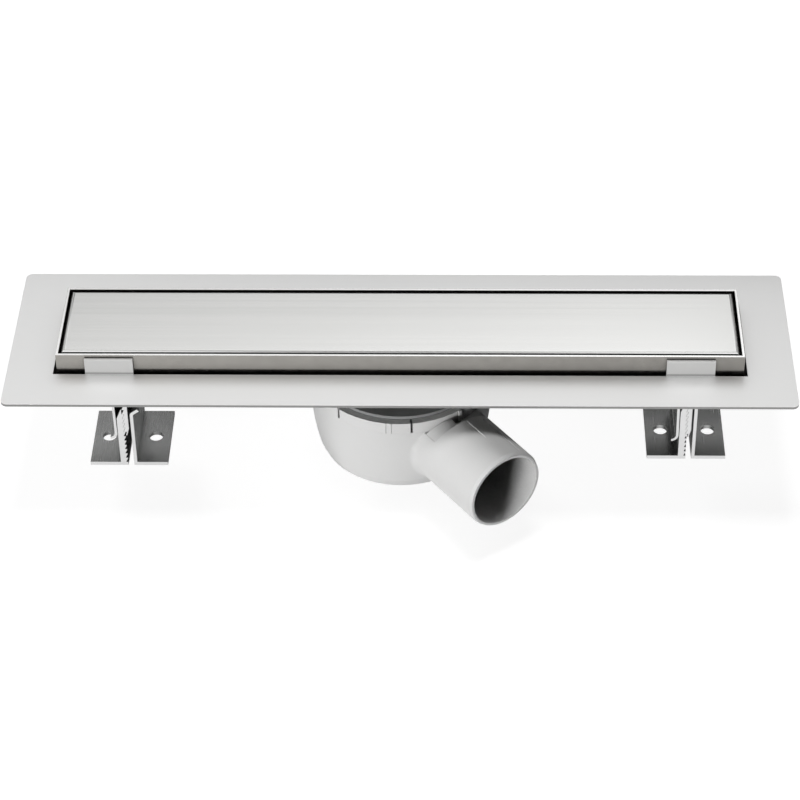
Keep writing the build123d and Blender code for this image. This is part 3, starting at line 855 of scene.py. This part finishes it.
class DRAIN_OT_clips(bpy.types.Operator):
    """Dress the extruded hangers and feet, and add the teeth of the pawls"""
    bl_idname = "drain.clips"
    bl_label = "Hangers and feet"

    def execute(self, context):
        look = settings().clip
        drawn = metal_finish(
            "drawn_aluminium", tuple(look.aluminium), look.gloss, DRAWN_LINES, streak=(0.2, 0.5),
            cloud=(30.0, 0.1, 0.3), painted_shade=(5.0 * MILLIMETRE, 0.5))
        sawn_ends(drawn, tuple(look.sawn))
        for side in ("left", "right"):
            dress("hanger_" + side, drawn, look.edge)
            dress("foot_" + side, drawn, look.edge)
            add_piece("pawl_teeth_" + side, [pawl_skin(side)], drawn, "drain")
        return {"FINISHED"}


class DRAIN_OT_fasteners(bpy.types.Operator):
    """Cut threads on the studs and dress them and the nuts in zinc plate"""
    bl_idname = "drain.fasteners"
    bl_label = "Studs and nuts"

    def execute(self, context):
        look = settings().clip
        zinc = metal_finish(
            "zinc_plate", tuple(look.zinc), PLATED_GLOSS, PLATED_LINES, streak=(0.15, 0.4),
            cloud=(200.0, 0.15, 0.4), painted_shade=(1.5 * MILLIMETRE, 0.5))
        dress("hanger_nuts", zinc)
        low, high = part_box("hanger_studs")
        radius = (high.y - low.y) / 2
        outer = high.x - radius
        studs = []
        for x in (-outer, look.spacing - outer, outer - look.spacing, outer):
            studs.append(stud_skin(x, (low.y + high.y) / 2, low.z, high.z, radius, look.pitch))
        threads = add_piece("stud_threads", studs, zinc, "drain")
        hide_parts("hanger_studs")
        return {"FINISHED"}


# Stage. A card's shading is two brightnesses and the two places between which they change

SENSOR_WIDTH = 36.0
FAR_CLIP = 100.0
WHITE = (1.0, 1.0, 1.0, 1.0)
FLOOR_HEIGHT = -93.2 * MILLIMETRE
FLOOR_SIZE = 8.0
FLOOR_GREY = (0.35, 0.35, 0.35, 1.0)
COVERED_ENDS = (0.22, 0.25)
COVERED_SIDES = (0.055, 0.07)
COVERED_MIDDLE = 0.04
BACK_CARD = {"left": -2.0, "right": 2.0, "depth": 0.9, "low": FLOOR_HEIGHT, "high": 2.0}
BACK_RISE = (0.52, 1.56, 0.62, 0.88)
BACK_SLOPE = (0.76, 1.22, -0.5, 0.4)
BACK_END = (1.0, 0.45, 0.34, 0.40)
LOW_FLAG = {"left": -0.6, "right": 0.6, "depth": 0.105, "low": -0.09, "high": 0.032}
LOW_FALL = (1.0, 0.25, -0.20, -0.10)
FRONT_CARD = [(-0.45, -0.55, 0.95), (0.5, -0.55, 0.95), (0.5, -1.15, 0.42), (-0.45, -1.15, 0.42)]
FRONT_SLOPE = (1.75, 0.25, -0.3, 0.4)
OVER_FLAG = [(-0.3, -0.5, 1.0), (0.22, -0.5, 1.0), (0.22, 0.35, 1.0), (-0.3, 0.35, 1.0)]
OVER_MIDDLE = -0.04
OVER_ENDS = (0.12, 0.26)
LIGHT_PLACES = {"key": (-0.88, -1.49, 0.05), "top": (0.02, -0.11, 1.66), "back": (-0.90, 1.40, 0.35)}
LIGHT_TARGET = (0.02, -0.05, -0.04)
LIGHT_SIZE = (0.45, 0.45)


def make_camera(look):
    level = math.cos(look.elevation)
    back = Vector((
        math.sin(look.azimuth) * level, -math.cos(look.azimuth) * level, math.sin(look.elevation)))
    data = bpy.data.cameras.new("camera")
    data.sensor_width = SENSOR_WIDTH
    data.lens = look.lens
    data.clip_end = FAR_CLIP
    camera = bpy.data.objects.new("camera", data)
    bpy.context.scene.collection.objects.link(camera)
    camera.rotation_mode = "QUATERNION"
    turn = (-back).to_track_quat("-Z", "Y").to_matrix() @ Matrix.Rotation(look.roll, 3, "Z")
    camera.rotation_quaternion = turn.to_quaternion()
    camera.location = Vector(look.aim) + back * look.distance
    bpy.context.scene.camera = camera


def seen_directly(graph):
    """One where the camera or metal shows the background, zero where it would light a matt surface."""
    path = graph.add("ShaderNodeLightPath").outputs
    unspread = graph.math("LESS_THAN", path["Diffuse Depth"], 0.5)
    mirrored = graph.math("MULTIPLY", path["Is Glossy Ray"], unspread)
    first = graph.math("MAXIMUM", path["Is Camera Ray"], mirrored)
    return graph.math("MAXIMUM", first, path["Is Transmission Ray"])


def make_world(look):
    world = bpy.data.worlds.new("studio")
    bpy.context.scene.world = world
    world.use_nodes = True
    world.node_tree.nodes.clear()
    graph = Graph(world.node_tree)
    strength = graph.spread(seen_directly(graph), look.fill, 1.0)
    sky = graph.add("ShaderNodeBackground", {"Color": WHITE, "Strength": strength})
    graph.add("ShaderNodeOutputWorld", {"Surface": sky.outputs[0]})


def flat_panel(name, corners, material):
    mesh = bpy.data.meshes.new(name)
    mesh.from_pydata(corners, [], [tuple(range(len(corners)))])
    mesh.materials.append(material)
    panel = bpy.data.objects.new(name, mesh)
    bpy.context.scene.collection.objects.link(panel)
    return panel


def make_floor(look):
    material, graph = new_material("pale_floor")
    lit = graph.add("ShaderNodeBsdfDiffuse", {"Color": FLOOR_GREY})
    place = graph.place()
    along = graph.spread(graph.math("ABSOLUTE", place["X"]), 1.0, 0.0, *COVERED_ENDS)
    off_middle = graph.math("ABSOLUTE", graph.math("SUBTRACT", place["Y"], COVERED_MIDDLE))
    # Painted shadow: gloss sees the floor under the drain dimmed to the under-drain light.
    painted_shadow_mask = graph.math("MULTIPLY", along, graph.spread(off_middle, 1.0, 0.0, *COVERED_SIDES))
    mirrored = graph.math("MULTIPLY", painted_shadow_mask, graph.add("ShaderNodeLightPath").outputs["Is Glossy Ray"])
    glow = graph.math("MULTIPLY", seen_directly(graph), graph.spread(mirrored, look.floor, look.under))
    plain = graph.add("ShaderNodeEmission", {"Color": WHITE, "Strength": glow})
    mixed = graph.add("ShaderNodeAddShader", {0: lit.outputs[0], 1: plain.outputs[0]})
    clear = graph.add("ShaderNodeBsdfTransparent")
    below = graph.add("ShaderNodeNewGeometry").outputs["Backfacing"]
    floor = graph.add("ShaderNodeMixShader", {0: below, 1: mixed.outputs[0], 2: clear.outputs[0]})
    close_material(graph, floor)
    half = FLOOR_SIZE / 2
    flat_panel("floor", [
        (-half, -half, FLOOR_HEIGHT), (half, -half, FLOOR_HEIGHT),
        (half, half, FLOOR_HEIGHT), (-half, half, FLOOR_HEIGHT)], material)


def make_card(name, corners, strength):
    """Adds a card that only gloss sees. strength(graph, place) gives its brightness over the card."""
    material, graph = new_material(name)
    close_material(graph, graph.add("ShaderNodeEmission", {"Strength": strength(graph, graph.place())}))
    card = flat_panel(name, corners, material)
    card.visible_camera = False
    card.visible_diffuse = False
    card.visible_transmission = False
    card.visible_shadow = False


def upright(left, right, depth, low, high):
    return [(left, depth, low), (right, depth, low), (right, depth, high), (left, depth, high)]


def make_cards(look):
    def back_light(graph, place):
        rise = graph.spread(place["Z"], *BACK_RISE)
        slope = graph.spread(place["X"], *BACK_SLOPE)
        end = graph.spread(place["X"], *BACK_END)
        return graph.math("MULTIPLY", graph.math("MULTIPLY", rise, slope), end)

    def front_light(graph, place):
        return graph.math("MULTIPLY", graph.spread(place["X"], *FRONT_SLOPE), look.front)

    def low_light(graph, place):
        return graph.math("MULTIPLY", graph.spread(place["X"], *LOW_FALL), look.low)

    def over_light(graph, place):
        off_middle = graph.math("ABSOLUTE", graph.math("SUBTRACT", place["X"], OVER_MIDDLE))
        return graph.spread(off_middle, look.over, 1.0, *OVER_ENDS)

    make_card("back_card", upright(**BACK_CARD), back_light)
    make_card("low_flag", upright(**LOW_FLAG), low_light)
    make_card("front_card", FRONT_CARD, front_light)
    make_card("over_flag", OVER_FLAG, over_light)


def make_light(name, place, watts):
    """Adds a soft lamp that matt surfaces take their light from, while gloss shows the cards instead."""
    data = bpy.data.lights.new(name, "AREA")
    data.shape = "RECTANGLE"
    data.size, data.size_y = LIGHT_SIZE
    data.energy = watts
    light = bpy.data.objects.new(name, data)
    bpy.context.scene.collection.objects.link(light)
    light.location = place
    light.rotation_mode = "QUATERNION"
    light.rotation_quaternion = (Vector(LIGHT_TARGET) - Vector(place)).to_track_quat("-Z", "Y")
    light.visible_glossy = False
    light.visible_camera = False


class DRAIN_OT_stage(bpy.types.Operator):
    """Set up the camera, the lights and the pale floor"""
    bl_idname = "drain.stage"
    bl_label = "Stage"

    def execute(self, context):
        look = settings().stage
        make_camera(look)
        make_world(look)
        make_floor(look)
        make_cards(look)
        for name, place in LIGHT_PLACES.items():
            make_light(name, place, getattr(look, name))
        context.scene.view_settings.view_transform = "Standard"
        return {"FINISHED"}


STEPS = (
    DRAIN_OT_sheets, DRAIN_OT_cover, DRAIN_OT_outlet, DRAIN_OT_trap, DRAIN_OT_clips, DRAIN_OT_fasteners,
    DRAIN_OT_stage)


class DRAIN_PT_sidebar(bpy.types.Panel):
    """Lists the steps that dress the drain"""
    bl_idname = "DRAIN_PT_sidebar"
    bl_label = "Shower drain"
    bl_space_type = "VIEW_3D"
    bl_region_type = "UI"
    bl_category = "Drain"

    def draw(self, context):
        for step in STEPS:
            self.layout.operator(step.bl_idname)


CLASSES = (
    SheetSettings, CoverSettings, TrapSettings, ClipSettings, StageSettings, DrainSettings,
    *STEPS, DRAIN_PT_sidebar)


def register():
    for item in CLASSES:
        bpy.utils.register_class(item)
    bpy.types.Scene.drain = PointerProperty(type=DrainSettings)


def unregister():
    del bpy.types.Scene.drain
    for item in reversed(CLASSES):
        bpy.utils.unregister_class(item)


def main():
    register()
    for step in STEPS:
        family, action = step.bl_idname.split(".")
        getattr(getattr(bpy.ops, family), action)()


if __name__ == "__main__":
    main()
